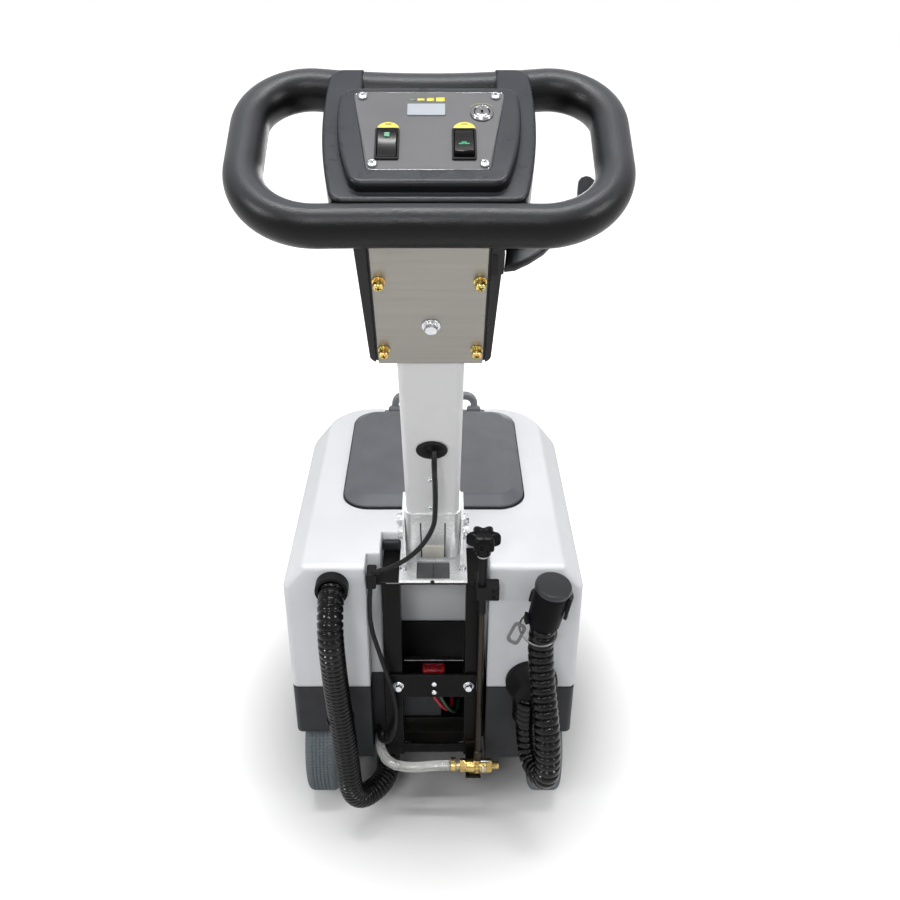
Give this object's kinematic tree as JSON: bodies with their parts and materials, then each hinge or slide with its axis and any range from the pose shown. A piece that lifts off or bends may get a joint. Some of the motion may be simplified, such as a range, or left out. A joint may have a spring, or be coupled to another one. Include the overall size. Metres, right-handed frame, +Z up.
{
  "type": "floor scrubber",
  "caption": "Walk-behind battery floor scrubber: moulded tank on wheels and a spinning brush, ribbed hoses at the back and a leaning column with a ring handle and control panel.",
  "frame": {"origin": "on the floor, under the middle of the machine's length and width", "axes": "+Z up, +Y forward, +X to the operator's right"},
  "size_m": [0.438, 0.8162, 1.1857],
  "materials": {
    "hood": "satin moulded polyethylene",
    "base": "satin moulded polyethylene",
    "lid": "smoky grey",
    "seal": "matt",
    "grey_plastic": "satin",
    "black_steel": "satin powder coat",
    "zinc": "zinc plated",
    "column_paint": "light grey powder coat",
    "head_black": "satin",
    "plate": "brushed",
    "screws": "yellow zinc",
    "ring": "grained foam",
    "panel": "printed film",
    "display": "gloss",
    "chrome": "polished",
    "rocker": "gloss",
    "tyre": "grey rubber",
    "hose": "satin",
    "clear": "clear",
    "cable": "matt",
    "brass": "bright",
    "bronze": "dull",
    "battery": "satin",
    "red": "gloss",
    "motor": "cast",
    "bristle": "nylon",
    "blade": "matt",
    "tank": "moulded"
  },
  "bodies": {
    "chassis": {"tank_hood": "hood", "recovery_basin": "base", "base_shell": "base", "chassis_plate": "black_steel", "upright_frame": "black_steel", "cross_plate": "black_steel", "frame_bolts": "zinc", "column_bracket": "zinc", "axle_brackets": "black_steel", "battery": "battery", "power_connector": "red", "battery_leads": "cable", "brush_motor": "motor", "brush_deck": "black_steel", "splash_skirt": "seal", "vacuum_motor": "motor", "solution_tank": "tank", "hose_fittings": "hose", "drain_hose": "hose", "hose_cuff": "hose", "hose_ring": "chrome", "hose_holders": "head_black", "suction_hose": "hose", "valve_body": "brass", "clear_hose": "clear", "rod_guide": "head_black", "cable_clip": "head_black", "control_cable": "cable", "lid_seal": "seal", "lid_hinge": "zinc", "carry_handle": "grey_plastic"},
    "brush": {"brush_disc": "head_black", "brush_bristles": "bristle"},
    "fan": {"vacuum_fan": "head_black"},
    "left_wheel": {"left_tyre": "tyre", "left_hub": "grey_plastic"},
    "right_wheel": {"right_tyre": "tyre", "right_hub": "grey_plastic"},
    "squeegee": {"squeegee_frame": "black_steel", "squeegee_blades": "blade"},
    "valve": {"valve_rod": "bronze", "valve_knob": "head_black"},
    "column": {"column_tube": "column_paint", "column_foot": "zinc", "grommet": "seal", "head_housing": "head_black", "head_plate": "plate", "column_screws": "screws", "handle_ring": "ring", "console_housing": "head_black", "control_panel": "panel", "display": "display", "key_lock": "chrome", "switch_frames": "rocker"},
    "lever": {"lift_lever": "head_black"},
    "rocker_left": {"left_rocker": "rocker"},
    "rocker_right": {"right_rocker": "rocker"},
    "key": {"key_cylinder": "chrome"},
    "lid": {"lid": "lid"},
    "plug": {"drain_plug": "hose"}
  },
  "joints": [
    {"name": "left_wheel_spin", "type": "hinge", "parent": "chassis", "child": "left_wheel", "pos_m": [-0.183, -0.0379, 0.096], "axis": [1, 0, 0], "continuous": true},
    {"name": "right_wheel_spin", "type": "hinge", "parent": "chassis", "child": "right_wheel", "pos_m": [0.183, -0.0379, 0.096], "axis": [1, 0, 0], "continuous": true},
    {"name": "brush_spin", "type": "hinge", "parent": "chassis", "child": "brush", "pos_m": [0, 0.2321, 0.06], "axis": [0, 0, 1], "continuous": true},
    {"name": "fan_spin", "type": "hinge", "parent": "chassis", "child": "fan", "pos_m": [0.143, 0.2021, 0.27], "axis": [0, 0, 1], "continuous": true},
    {"name": "column_tilt", "type": "hinge", "parent": "chassis", "child": "column", "pos_m": [0, -0.0659, 0.528], "axis": [-1, 0, 0], "range_deg": [-12, 28], "deforming": ["control_cable"]},
    {"name": "lever_swing", "type": "hinge", "parent": "column", "child": "lever", "pos_m": [0.08, -0.32707, 1.04046], "axis": [-1, 0, 0], "range_deg": [0, 35]},
    {"name": "squeegee_lift", "type": "slide", "parent": "chassis", "child": "squeegee", "axis": [0, 0, 1], "range_m": [0, 0.015]},
    {"name": "valve_turn", "type": "hinge", "parent": "chassis", "child": "valve", "pos_m": [0.07, -0.1369, 0.556], "axis": [0, 0, 1], "range_deg": [0, 90]},
    {"name": "left_rocker_tip", "type": "hinge", "parent": "column", "child": "rocker_left", "pos_m": [-0.037, -0.34511, 1.13586], "axis": [1, 0, 0], "range_deg": [-18, 0]},
    {"name": "right_rocker_tip", "type": "hinge", "parent": "column", "child": "rocker_right", "pos_m": [0.0314, -0.34555, 1.13562], "axis": [1, 0, 0], "range_deg": [0, 18]},
    {"name": "key_turn", "type": "hinge", "parent": "column", "child": "key", "pos_m": [0.048, -0.31139, 1.15864], "axis": [0, -0.4756, 0.8796], "range_deg": [0, 90]},
    {"name": "lid_open", "type": "hinge", "parent": "chassis", "child": "lid", "pos_m": [0, 0.3601, 0.5063], "axis": [-1, 0, 0], "range_deg": [0, 90]},
    {"name": "plug_pull", "type": "slide", "parent": "chassis", "child": "plug", "axis": [0.1323, -0.1353, 0.9819], "range_m": [0, 0.045]}
  ],
  "couplings": [
    {"joint": "lever_swing", "follows": "squeegee_lift", "rad_per_m": 40.7}
  ]
}
